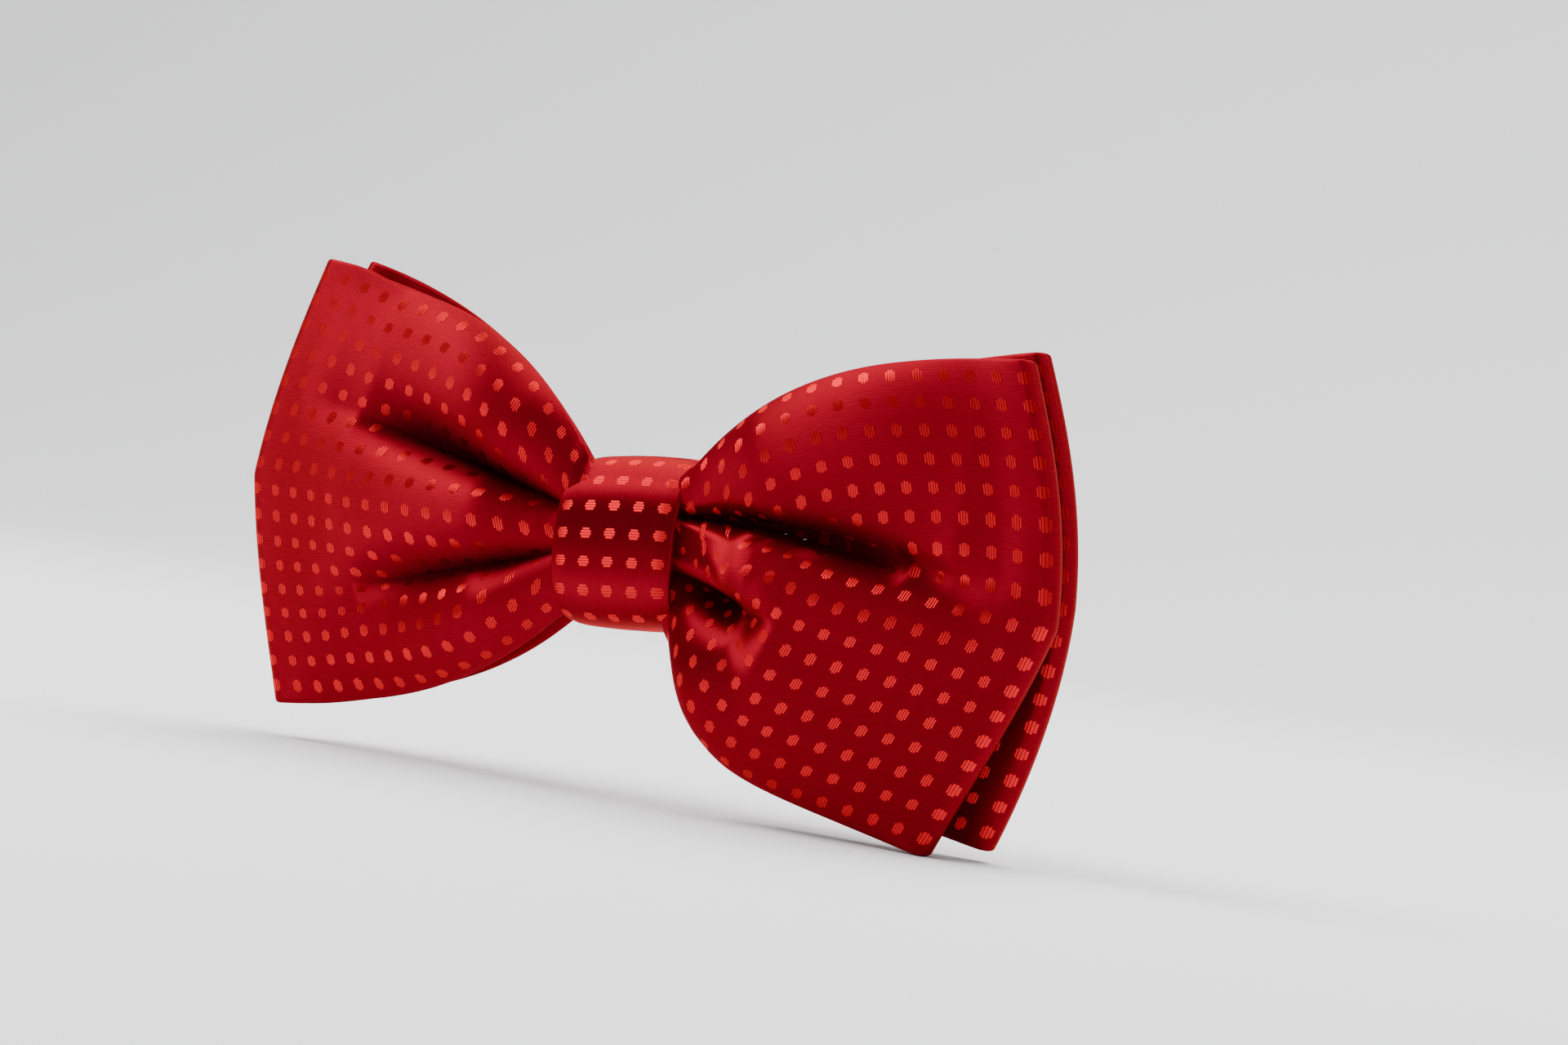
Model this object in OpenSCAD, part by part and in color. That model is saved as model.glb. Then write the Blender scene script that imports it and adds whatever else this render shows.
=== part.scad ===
// Pre-tied double bow tie with an adjustable neckband.
// Frame: +X along the wings, -Y out of the bow's face, +Z up as worn.
// The origin is the centre of the flat back of the knot, where the tie bears on a collar.

/* [Bow] */
// Width of the front bow across the middle of its ends
bow_w = 128; // [112:1:142]
// Height of the front bow at its outer corners
bow_h = 64; // [54:1:74]
// How far the outer corners stand in from the middle of each end
corner_inset = 7.5; // [3:0.5:9]
// Thickness of a wing where it puffs out most
wing_puff = 10.5; // [9:0.5:13]
// Thickness of a wing along its outer end
wing_tip_t = 4; // [3:0.5:5]
// How much wider and higher the back bow is on each side
back_bow_grow = 1; // [0:0.5:3]
// Thickness of the lined satin of the bows
satin_t = 1.2; // [0.8:0.1:1.6]
// Thickness of the interlining sheets
lining_t = 0.5; // [0.3:0.1:0.8]

/* [Knot] */
// Width of the knot along the bow
knot_w = 19; // [15:0.5:24]
// Height of the knot
knot_h = 23; // [20:0.5:28]
// Depth of the knot from its face to its flat back
knot_d = 18; // [17:0.5:22]
// Corner radius of the knot's rounded section
knot_r = 5.5; // [4:0.5:7]
// Thickness of the knot's satin
knot_satin_t = 0.7; // [0.5:0.1:1]
// Diameter of the sewing thread
thread_d = 0.4; // [0.3:0.05:0.6]

/* [Neckband] */
// Width of the neckband
band_w = 13; // [10:0.5:16]
// Thickness of the neckband
band_t = 0.9; // [0.6:0.1:1.2]
// Distance of the outer folds from the middle of the bow
fold_x = 50.6; // [44:0.2:54]
// Gap between two folded runs of the neckband
run_gap = 0.6; // [0.4:0.1:1]
// Distance of each end fitting's bar from the outer fold
end_reach = 29; // [26:0.5:31]

/* [Fittings] */
// Radius of the round bars that the neckband loops around
bar_r = 0.6; // [0.5:0.05:0.8]
// Running clearance between a bar and the loop around it
bar_clear = 0.08; // [0.05:0.01:0.1]
// Length of the hook and of the ring from the bar's axis to the tip
fitting_l = 10.5; // [9:0.5:12]
// Width of the hook's tongue
tongue_w = 6; // [5:0.5:8]
// Thickness of the hook's tongue
tongue_t = 0.8; // [0.6:0.1:1]
// Length of the slider along the neckband
slider_l = 10.5; // [9:0.5:13]
// Width of each bar and rail of the slider
slider_bar = 1.4; // [1:0.1:1.8]
// Thickness of the slider's end bars
slider_t = 0.7; // [0.5:0.1:1]
// Clearance between the slider and the neckband
slider_clear = 0.12; // [0.08:0.02:0.3]
// Travel of the slider along the neckband
slider_travel = 10; // [6:1:11]

/* [Hidden] */

red = [0.72, 0.03, 0.07];
dark_red = [0.55, 0.02, 0.05];
white = [0.93, 0.92, 0.9];
steel = [0.78, 0.78, 0.8];

gap = 0.1;                 // between pieces of one body that lie on each other
edge_r = 1.2;              // rounding of a wing's outline
slice = 1;                 // length of the thin section where a wing meets the knot

// Depths inside the knot, from its flat back at Y = 0 forwards.
wall_t = knot_satin_t + gap + lining_t;
band_y = -wall_t - gap - band_t;
pinch_back = band_y - gap - thread_d - gap;
pinch_front = -knot_d + wall_t + gap + thread_d + gap;
pinch_t = (pinch_back - pinch_front - gap) / 2;
pinch_h = knot_h - 2 * (wall_t + gap + thread_d + gap);
knot_side = knot_w / 2;

// Folded runs of the neckband, from the front run backwards.
run_pitch = band_t + run_gap;
run_x0 = knot_side + 2.5;                  // inner folds stand clear of the knot
fold_gap = 1;                              // from a fold's axis to the end of a run
hinge_0_x = knot_side + 1.2;               // where the band leaves the knot
inner_fold_x = run_x0 - 0.6;
run_4_y = band_y + 2 * run_pitch + band_t + 0.3 + slider_t + slider_clear;
loop_r = bar_r + bar_clear;
bar_y = run_4_y + band_t + loop_r;
return_y = bar_y + loop_r;
bar_x = fold_x - end_reach;
slider_x = fold_x - fold_gap - 1.5 - slider_l / 2;
return_gap = slider_travel / 2 + 0.3;      // lets the return ply near the hook's loop

// Rounded rectangle of squares and true circles, depth along X and height along Y here.
module rounded_section(depth, height, r) {
    square([depth - 2 * r, height], center = true);
    square([depth, height - 2 * r], center = true);
    for (a = [-1, 1]) for (b = [-1, 1])
        translate([a * (depth / 2 - r), b * (height / 2 - r)]) circle(r = r, $fn = 48);
}

// The room inside the knot in front of the neckband, inset all round, along X.
module pinch_prism(inset, width) {
    front = -knot_d + wall_t + gap + inset;
    back = band_y - gap - inset;
    translate([-width / 2, (front + back) / 2, 0]) rotate([90, 0, 90]) linear_extrude(width)
        rounded_section(back - front, knot_h - 2 * (wall_t + gap + inset),
                        knot_r - wall_t - gap - inset);
}

// ---------- bows ----------

// A wing on the +X side: from the knot it swells, then thins towards a bulging end.
// grow widens it, inner shrinks it to the hollow inside the satin.
module wing_form(y0, y1, puff_front, puff_back, grow, inner) {
    tip = bow_w / 2 + grow - inner;
    corner = tip - corner_inset;
    half_h = bow_h / 2 + grow - inner;
    mid_y = (y0 + y1) / 2;
    tip_t = wing_tip_t - 2 * inner;
    hull() {
        translate([knot_side + gap + inner, y0 + inner, -pinch_h / 2 + inner])
            cube([slice, y1 - y0 - 2 * inner, pinch_h - 2 * inner]);
        translate([knot_side + 16, y0 - puff_front + inner, -half_h * 0.62])
            cube([8, y1 - y0 + puff_front + puff_back - 2 * inner, half_h * 1.24]);
        for (side = [-1, 1])
            translate([corner - edge_r, mid_y + tip_t / 2, side * (half_h - edge_r)])
                rotate([90, 0, 0]) cylinder(r = edge_r, h = tip_t, $fn = 24);
        for (side = [-1, 1])
            translate([tip - edge_r, mid_y + tip_t / 2, side * half_h * 0.38])
                rotate([90, 0, 0]) cylinder(r = edge_r, h = tip_t, $fn = 24);
    }
}

// Both wings and the pinched middle of one bow, hollow inside the wings.
module bow_form(y0, y1, puff_front, puff_back, grow) {
    for (turn = [0, 1])
        mirror([turn, 0, 0]) difference() {
            wing_form(y0, y1, puff_front, puff_back, grow, 0);
            wing_form(y0, y1, puff_front, puff_back, grow, satin_t);
        }
    intersection() {
        pinch_prism(thread_d + gap, knot_w + 2 * gap + slice);
        translate([-knot_w, y0, -knot_h / 2]) cube([2 * knot_w, y1 - y0, knot_h]);
    }
}

// The stiff sheets inside both wings of one bow, in the middle of the hollow.
module lining_form(y0, y1, grow) {
    tip = bow_w / 2 + grow - 2 * satin_t - corner_inset;
    half_h = bow_h / 2 + grow - 3 * satin_t;
    root_h = pinch_h / 2 - 2 * satin_t;
    for (turn = [0, 1])
        mirror([turn, 0, 0])
            translate([0, (y0 + y1) / 2 + lining_t / 2, 0]) rotate([90, 0, 0])
                linear_extrude(lining_t)
                    polygon([[knot_side + 2.5, -root_h], [tip, -half_h],
                             [tip, half_h], [knot_side + 2.5, root_h]]);
}

front_y0 = pinch_front;
front_y1 = pinch_front + pinch_t;
back_y0 = front_y1 + gap;
back_y1 = back_y0 + pinch_t;
front_puff = wing_puff - pinch_t;

module front_bow() {
    color(red) bow_form(front_y0, front_y1, front_puff, 0, 0);
}

module front_bow_lining() {
    color(white) lining_form(front_y0, front_y1, 0);
}

module back_bow() {
    color(red) bow_form(back_y0, back_y1, 0, 0, back_bow_grow);
}

module back_bow_lining() {
    color(white) lining_form(back_y0, back_y1, back_bow_grow);
}

// ---------- knot ----------

// A closed band around the pinch: inset from the knot's outside, thickness and width given.
module knot_ring(inset, thick, width) {
    translate([-width / 2, -knot_d / 2, 0]) rotate([90, 0, 90]) linear_extrude(width)
        difference() {
            rounded_section(knot_d - 2 * inset, knot_h - 2 * inset, knot_r - inset);
            rounded_section(knot_d - 2 * (inset + thick), knot_h - 2 * (inset + thick),
                            knot_r - inset - thick);
        }
}

stitch_count = 6;
stitch_pitch = (knot_w - 3) / (stitch_count - 1);
stitch_l = 2.4;
stitch_z = -knot_h / 4;    // the wrap's end is sewn down below the middle of the back

// One short stitch along Z for each place across the knot's back, just under its face.
module stitch_row(r, length) {
    for (i = [0 : stitch_count - 1])
        translate([(i - (stitch_count - 1) / 2) * stitch_pitch,
                   -thread_d / 2 - 0.02, stitch_z - length / 2])
            cylinder(r = r, h = length, $fn = 16);
}

module knot_wrap() {
    color(red) difference() {
        knot_ring(0, knot_satin_t, knot_w);
        for (i = [0 : stitch_count - 1])
            translate([(i - (stitch_count - 1) / 2) * stitch_pitch - thread_d / 2 - 0.05,
                       -thread_d - 0.07, stitch_z - stitch_l / 2 - 0.05])
                cube([thread_d + 0.1, thread_d + 0.5, stitch_l + 0.1]);
    }
}

module knot_lining() {
    color(white) knot_ring(knot_satin_t + gap, lining_t, knot_w - 1);
}

module knot_stitches() {
    color(dark_red) stitch_row(thread_d / 2, stitch_l);
}

thread_turns = 6;

// Turns of thread that bind the pleats of both bows, with the neckband left free behind.
module pleat_thread() {
    color(dark_red) for (i = [0 : thread_turns - 1])
        translate([(i - (thread_turns - 1) / 2) * thread_d * 1.5, 0, 0]) difference() {
            pinch_prism(0, thread_d);
            pinch_prism(thread_d, 2 * thread_d);
        }
}

// ---------- neckband ----------

module ply(x0, x1, y) {
    translate([min(x0, x1), y, -band_w / 2]) cube([abs(x1 - x0), band_t, band_w]);
}

module band_centre() {
    color(red) ply(-hinge_0_x + fold_gap, hinge_0_x - fold_gap, band_y);
}

// Run number n of one side, on the +X side: 1 leaves the knot, 4 ends at the fitting.
module run(n) {
    outer = fold_x - fold_gap;
    inner = inner_fold_x + fold_gap;
    if (n == 1) ply(hinge_0_x + fold_gap, outer, band_y);
    if (n == 2) ply(inner, outer, band_y + run_pitch);
    if (n == 3) ply(inner, outer, band_y + 2 * run_pitch);
    if (n == 4) ply(bar_x + gap, outer, run_4_y);
}

module left() { mirror([1, 0, 0]) children(); }

module band_right_1() { color(red) run(1); }
module band_right_2() { color(red) run(2); }
module band_right_3() { color(red) run(3); }
module band_right_4() { color(red) run(4); }
module band_left_1() { color(red) left() run(1); }
module band_left_2() { color(red) left() run(2); }
module band_left_3() { color(red) left() run(3); }
module band_left_4() { color(red) left() run(4); }

// The turn of the band around an end fitting's bar.
module end_turn() {
    translate([bar_x, bar_y, -band_w / 2])
        rotate([0, 0, 90]) rotate_extrude(angle = 180, $fn = 48)
            translate([loop_r, 0]) square([band_t, band_w]);
}

// The ply that comes back from the hook to the slider, which holds its end.
module band_right_return() {
    color(red) ply(bar_x + return_gap, slider_x + slider_bar / 2 - gap, return_y);
}

module band_right_loop() { color(red) end_turn(); }

left_return_l = 9;

// The left end turns around the ring's bar and is sewn down on itself.
module band_left_loop() {
    color(red) left() {
        end_turn();
        ply(bar_x, bar_x + left_return_l, return_y);
    }
}

// A bar tack: a block of close thread turns on the face of a ply.
module bar_tack(x, y) {
    turns = 16;
    pitch = (band_w - 3) / (turns - 1);
    for (i = [0 : turns - 1])
        translate([x - 1, y, (i - (turns - 1) / 2) * pitch - thread_d / 2])
            cube([2, thread_d / 2, thread_d]);
}

module band_left_stitches() {
    color(dark_red) left() bar_tack(bar_x + left_return_l - 2, return_y + band_t + 0.02);
}

module slider_stitches() {
    color(dark_red) bar_tack(slider_x - slider_bar - 1.6, return_y + band_t + 0.02);
}

// ---------- fittings ----------

rail_z = band_w / 2 + slider_clear;
front_bar_y = run_4_y - slider_clear - slider_t;
centre_bar_y = run_4_y + band_t + slider_clear;
centre_bar_t = return_y - slider_clear / 2 - centre_bar_y;

// Adjuster: two end bars in front of the band, a centre bar behind it, two side rails.
module slider() {
    color(steel) translate([slider_x, 0, 0]) {
        for (side = [-1, 1]) {
            translate([-slider_l / 2, front_bar_y, side > 0 ? rail_z : -rail_z - slider_bar])
                cube([slider_l, centre_bar_y + centre_bar_t - front_bar_y, slider_bar]);
            translate([side * (slider_l - slider_bar) / 2 - slider_bar / 2, front_bar_y,
                       -rail_z - slider_bar / 2])
                cube([slider_bar, slider_t, 2 * rail_z + slider_bar]);
        }
        translate([-slider_bar / 2, centre_bar_y, -rail_z - slider_bar / 2])
            cube([slider_bar, centre_bar_t, 2 * rail_z + slider_bar]);
    }
}

bar_h = band_w + 2 * slider_clear;
frame_r = bar_r;

// A fitting's round bar on Z and the two arms that carry it, reaching towards -X.
module bar_and_arms(arm_l) {
    translate([0, 0, -bar_h / 2 - bar_r]) cylinder(r = bar_r, h = bar_h + 2 * bar_r, $fn = 32);
    for (side = [-1, 1])
        translate([-arm_l, -bar_r, side * (bar_h / 2 + bar_r) - bar_r])
            cube([arm_l, 2 * bar_r, 2 * bar_r]);
}

curl_r = 1.5;              // middle radius of the hook's curl
hook_arm_l = 3.6;

// Hook: bar and arms, a cross plate, a tongue, and a curl that comes back behind it.
module hook() {
    straight = fitting_l - hook_arm_l - curl_r - tongue_t / 2;
    tip_l = straight - 1;
    color(steel) translate([bar_x, bar_y, 0]) {
        bar_and_arms(hook_arm_l);
        translate([-hook_arm_l, -bar_r, -bar_h / 2 - 2 * bar_r])
            cube([2 * bar_r, 2 * bar_r, bar_h + 4 * bar_r]);
        translate([-hook_arm_l - straight, -tongue_t / 2, -tongue_w / 2])
            cube([straight + bar_r, tongue_t, tongue_w]);
        translate([-hook_arm_l - straight, curl_r, -tongue_w / 2])
            rotate([0, 0, 90]) rotate_extrude(angle = 180, $fn = 48)
                translate([curl_r - tongue_t / 2, 0]) square([tongue_t, tongue_w]);
        translate([-hook_arm_l - straight, 2 * curl_r - tongue_t / 2, -tongue_w / 2])
            cube([tip_l, tongue_t, tongue_w]);
    }
}

// Ring: a closed rectangle with the same bar as the hook.
module ring() {
    color(steel) left() translate([bar_x, bar_y, 0]) {
        bar_and_arms(fitting_l - bar_r);
        translate([-fitting_l + bar_r, 0, -bar_h / 2 - 2 * bar_r])
            cylinder(r = bar_r, h = bar_h + 4 * bar_r, $fn = 32);
    }
}

front_bow();
front_bow_lining();
back_bow();
back_bow_lining();
knot_wrap();
knot_lining();
pleat_thread();
knot_stitches();
band_centre();
band_right_1();
band_right_2();
band_right_3();
band_right_4();
band_right_return();
band_right_loop();
slider();
slider_stitches();
hook();
band_left_1();
band_left_2();
band_left_3();
band_left_4();
band_left_loop();
band_left_stitches();
ring();
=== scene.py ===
"""A pre-tied double bow tie in dotted red satin, with its neckband folded behind the bow.

Every shape is worked out in millimetres and put into its mesh in metres. +X runs along the wings,
-Y out of the bow's face and +Z up. Each sub-assembly is a class that builds and dresses its pieces.
"""

import logging
from dataclasses import dataclass
from enum import Enum

import bpy
import numpy as np
from mathutils import Matrix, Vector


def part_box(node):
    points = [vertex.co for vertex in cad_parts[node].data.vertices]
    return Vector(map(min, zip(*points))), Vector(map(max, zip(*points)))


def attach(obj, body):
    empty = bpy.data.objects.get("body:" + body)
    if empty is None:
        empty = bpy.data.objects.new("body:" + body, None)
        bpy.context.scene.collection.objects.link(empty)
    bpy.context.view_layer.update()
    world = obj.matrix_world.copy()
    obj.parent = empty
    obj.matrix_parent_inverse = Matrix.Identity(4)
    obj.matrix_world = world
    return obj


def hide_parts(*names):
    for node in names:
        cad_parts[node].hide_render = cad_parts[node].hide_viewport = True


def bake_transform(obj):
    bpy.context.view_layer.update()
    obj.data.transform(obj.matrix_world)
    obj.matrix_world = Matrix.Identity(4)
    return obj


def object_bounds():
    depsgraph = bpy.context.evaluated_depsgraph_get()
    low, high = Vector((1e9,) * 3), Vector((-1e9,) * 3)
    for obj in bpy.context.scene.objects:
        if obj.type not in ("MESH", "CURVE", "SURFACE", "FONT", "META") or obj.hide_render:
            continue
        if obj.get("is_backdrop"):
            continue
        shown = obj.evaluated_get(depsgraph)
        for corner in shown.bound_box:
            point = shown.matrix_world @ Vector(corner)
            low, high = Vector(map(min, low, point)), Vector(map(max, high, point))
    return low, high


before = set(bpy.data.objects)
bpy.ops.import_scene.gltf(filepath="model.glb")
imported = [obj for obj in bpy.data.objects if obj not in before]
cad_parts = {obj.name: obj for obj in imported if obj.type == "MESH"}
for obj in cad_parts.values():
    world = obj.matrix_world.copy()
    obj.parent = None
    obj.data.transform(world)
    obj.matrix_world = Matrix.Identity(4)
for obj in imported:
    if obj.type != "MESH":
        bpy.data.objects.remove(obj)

Array = np.ndarray
Object = bpy.types.Object
Material = bpy.types.Material
Socket = bpy.types.NodeSocket
Pair = tuple[float, float]
Triple = tuple[float, float, float]
log = logging.getLogger("bow_tie")
MM = 0.001


class Side(Enum):
    """The two wings, by the direction in which each one points along X."""

    LEFT = -1
    RIGHT = 1


# ---------------------------------------------------------------------------
# Mesh tools
# ---------------------------------------------------------------------------


def ease(t: Array) -> Array:
    """Smooth step: 3t^2 - 2t^3 with t held between 0 and 1.

    Args:
        t: Values of any shape.

    Returns:
        The eased values.
    """
    held = np.clip(t, 0.0, 1.0)
    return held * held * (3.0 - 2.0 * held)


def unit(vectors: Array) -> Array:
    """Vectors divided by their own length.

    Args:
        vectors: Array whose last axis holds x, y, z.

    Returns:
        The unit vectors.
    """
    length = np.linalg.norm(vectors, axis=-1, keepdims=True)
    return vectors / np.maximum(length, 1e-9)


def grid_faces(rows: int, columns: int, close_rows: bool, close_columns: bool) -> Array:
    """Quads over a grid of points numbered row by row.

    Args:
        rows: Number of rows.
        columns: Number of points in a row.
        close_rows: Whether the last row joins the first.
        close_columns: Whether the last column joins the first.

    Returns:
        One line of four point numbers for each quad.
    """
    i = np.arange(rows if close_rows else rows - 1)
    j = np.arange(columns if close_columns else columns - 1)
    a, b = np.meshgrid(i, j, indexing="ij")
    c, d = (a + 1) % rows, (b + 1) % columns
    quads = np.stack([a * columns + b, c * columns + b, c * columns + d, a * columns + d], -1)
    return quads.reshape(-1, 4)


def signed_volume(points: Array, quads: Array) -> float:
    """Volume inside a closed surface, negative if its faces point inwards.

    It is the sum over the quads of the dot product of one corner with half the cross product
    of the diagonals, over three.

    Args:
        points: Corner positions.
        quads: Corner numbers of each quad.

    Returns:
        The signed volume.
    """
    p = points[quads]
    cross = np.cross(p[:, 2] - p[:, 0], p[:, 3] - p[:, 1])
    return float(np.einsum("ij,ij->", p.mean(axis=1), cross) / 6.0)


def add_mesh(
    name: str, points: Array, quads: Array, uv: Array | None = None, crease_shade: Array | None = None
) -> Object:
    """Makes a smooth-shaded object at the origin from points in millimetres.

    Args:
        name: Name of the object and its mesh.
        points: Corner positions in millimetres.
        quads: Corner numbers of each quad.
        uv: Cloth position of each point in millimetres, or None.
        crease_shade: How deep each point lies in a crease, from 0 to 1, or None; the satin reads it to paint
            shade into its colour.

    Returns:
        The new object, linked to the scene.
    """
    if signed_volume(points, quads) < 0:
        quads = quads[:, ::-1]
    mesh = bpy.data.meshes.new(name)
    mesh.vertices.add(len(points))
    mesh.vertices.foreach_set("co", (points * MM).astype(np.float32).ravel())
    mesh.loops.add(quads.size)
    mesh.loops.foreach_set("vertex_index", quads.astype(np.int32).ravel())
    mesh.polygons.add(len(quads))
    mesh.polygons.foreach_set("loop_start", np.arange(0, quads.size, 4, dtype=np.int32))
    mesh.polygons.foreach_set("use_smooth", np.ones(len(quads), dtype=bool))
    if uv is not None:
        layer = mesh.uv_layers.new(name="cloth")
        layer.data.foreach_set("uv", (uv[quads.ravel()] * MM).astype(np.float32).ravel())
    # Painted shade: the crease depth is stored so that the satin can darken its colour by it.
    if crease_shade is not None:
        depth = mesh.attributes.new("crease_shade", "FLOAT", "POINT")
        depth.data.foreach_set("value", crease_shade.astype(np.float32).ravel())
    mesh.update(calc_edges=True)
    mesh.validate()
    obj = bpy.data.objects.new(name, mesh)
    bpy.context.scene.collection.objects.link(obj)
    return obj


def thicken(mid: Array, uv: Array, thickness: float, cap: int = 5) -> tuple[Array, Array]:
    """Turns a sheet's middle surface into the closed surface of a pressed, folded cloth.

    Each row of the sheet runs round both faces: the middle moved half a thickness along the
    normal, a half circle round the edge, the middle moved the other way, and a half circle back.

    Args:
        mid: Middle surface, rows of points that run from one edge to the other.
        uv: Cloth position of each middle point.
        thickness: Thickness of the cloth.
        cap: Points on each rounded edge.

    Returns:
        The points and their cloth positions, as grids closed along their second axis.
    """
    along = np.gradient(mid, axis=0)
    across = np.gradient(mid, axis=1)
    normal = unit(np.cross(along, across))
    half = thickness / 2.0
    turn = np.linspace(0.0, np.pi, cap + 2)[1:-1]
    parts = [mid + normal * half]
    cloth = [uv]
    for edge, sign in ((-1, 1.0), (0, -1.0)):
        out = across[:, edge] * sign
        step = unit(along[:, edge])
        out = unit(out - np.sum(out * step, -1, keepdims=True) * step)
        level = np.cos(turn) * sign
        arc = (
            mid[:, edge, None]
            + half * np.sin(turn)[None, :, None] * out[:, None]
            + half * level[None, :, None] * normal[:, edge, None]
        )
        parts.append(arc)
        cloth.append(np.repeat(uv[:, edge, None], cap, axis=1))
        if sign > 0:
            parts.append((mid - normal * half)[:, ::-1])
            cloth.append(uv[:, ::-1])
    return np.concatenate(parts, axis=1), np.concatenate(cloth, axis=1)


def thicken_loop(mid: Array, uv: Array, thickness: float) -> tuple[Array, Array]:
    """Thickens a sheet whose last row joins its first.

    Args:
        mid: Middle surface, one row of points for each step round the loop.
        uv: Cloth position of each middle point.
        thickness: Thickness of the cloth.

    Returns:
        The points and their cloth positions, as grids closed along both axes.
    """
    mid, uv = (np.concatenate([grid[-2:], grid, grid[:2]]) for grid in (mid, uv))
    points, cloth = thicken(mid, uv, thickness)
    return points[2:-2], cloth[2:-2]


def lids(rows: int, columns: int, cap: int) -> Array:
    """Quads that close both ends of a grid made by thicken, each between its two faces.

    Args:
        rows: Number of rows of the grid.
        columns: Number of points in a row.
        cap: Points on each rounded edge, an even number.

    Returns:
        One line of four point numbers for each quad.
    """
    step = np.arange(columns // 2 - 1)
    one = columns - cap // 2 + step
    other = columns - cap // 2 - 1 - step
    lid = np.stack([one % columns, (one + 1) % columns, other - 1, other], -1)
    return np.concatenate([lid, lid[:, ::-1] + (rows - 1) * columns])


def ribbon(name: str, path: Array, width: float, thickness: float, start: float = 0.0) -> Object:
    """A strap: a flat path in X and Y carried along Z, thickened, with rounded edges and closed ends.

    Args:
        name: Name of the piece.
        path: Points of the strap's middle line in X and Y.
        width: Width along Z.
        thickness: Thickness of the strap.
        start: Cloth length at the path's first point.

    Returns:
        The new object.
    """
    across = np.linspace(-0.5, 0.5, 15) * (width - thickness)
    mid = np.zeros((len(path), len(across), 3))
    mid[..., :2] = path[:, None]
    mid[..., 2] = across[None, :]
    length = start + np.concatenate([[0.0], np.cumsum(np.linalg.norm(np.diff(path, axis=0), axis=1))])
    uv = np.stack(np.broadcast_arrays(length[:, None], across[None, :]), -1)
    points, cloth = thicken(mid, uv, thickness, cap=6)
    n, m = points.shape[:2]
    quads = np.concatenate([grid_faces(n, m, False, True), lids(n, m, 6)])
    return add_mesh(name, points.reshape(-1, 3), quads, cloth.reshape(-1, 2))


def threads(name: str, paths: Array, radius: float, sides: int = 8) -> Object:
    """Several short threads, each a circle carried along its own path.

    Args:
        name: Name of the piece.
        paths: One path of points for each thread.
        radius: Radius of a thread.
        sides: Points on the circle.

    Returns:
        One object that holds every thread.
    """
    along = unit(np.gradient(paths, axis=1))
    helper = np.where(np.abs(along[..., :1]) > 0.9, [[[0.0, 0.0, 1.0]]], [[[1.0, 0.0, 0.0]]])
    side = unit(np.cross(along, helper))
    up = np.cross(along, side)
    angle = np.linspace(0.0, 2.0 * np.pi, sides, endpoint=False)
    taper = np.sin(np.linspace(0.15, np.pi - 0.15, paths.shape[1])) ** 0.35
    turn = angle[None, None, :, None]
    ring = side[:, :, None] * np.cos(turn) + up[:, :, None] * np.sin(turn)
    points = paths[:, :, None] + ring * (radius * taper)[None, :, None, None]
    count, steps = paths.shape[:2]
    one = grid_faces(steps, sides, False, True)
    quads = (one[None] + (np.arange(count) * steps * sides)[:, None, None]).reshape(-1, 4)
    length = np.linspace(0.0, 1.0, steps)[None, :, None] * np.ones((count, 1, sides))
    uv = np.stack([length, np.broadcast_to(angle, length.shape)], -1)
    return add_mesh(name, points.reshape(-1, 3), quads, uv.reshape(-1, 2))


# ---------------------------------------------------------------------------
# Materials
# ---------------------------------------------------------------------------


class Value:
    """A number that varies over a surface, written with ordinary arithmetic."""

    def __init__(self, board: "Board", socket: Socket) -> None:
        """Keeps the board that the value lives on and the socket that gives it."""
        self.board = board
        self.socket = socket

    def math(self, operation: str, *others: "Value | float", first: bool = True) -> "Value":
        """Adds one Math node.

        Args:
            operation: Name of the Math operation.
            others: The other numbers, values or plain.
            first: Whether this value is the first operand.

        Returns:
            The result.
        """
        given = [self, *others] if first else [*others, self]
        slots = {i: g for i, g in enumerate(given)}
        node = self.board.node("ShaderNodeMath", {"operation": operation}, slots)
        return Value(self.board, node.outputs[0])

    def __add__(self, other: "Value | float") -> "Value":
        """This value plus another."""
        return self.math("ADD", other)

    __radd__ = __add__

    def __sub__(self, other: "Value | float") -> "Value":
        """This value minus another."""
        return self.math("SUBTRACT", other)

    def __rsub__(self, other: "Value | float") -> "Value":
        """Another value minus this one."""
        return self.math("SUBTRACT", other, first=False)

    def __mul__(self, other: "Value | float") -> "Value":
        """This value times another."""
        return self.math("MULTIPLY", other)

    __rmul__ = __mul__

    def __truediv__(self, other: "Value | float") -> "Value":
        """This value over another."""
        return self.math("DIVIDE", other)

    def __abs__(self) -> "Value":
        """The size of this value without its sign."""
        return self.math("ABSOLUTE")

    def below(self, other: "Value | float") -> "Value":
        """1 where this value is under another, 0 elsewhere."""
        return self.math("LESS_THAN", other)

    def whole(self) -> "Value":
        """This value rounded down."""
        return self.math("FLOOR")

    def part(self) -> "Value":
        """What is left over from rounding down."""
        return self.math("FRACT")

    def root(self) -> "Value":
        """Square root of this value, held above 0."""
        return self.math("MAXIMUM", 0.0).math("SQRT")

    def wave(self) -> "Value":
        """Sine of this value."""
        return self.math("SINE")


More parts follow.
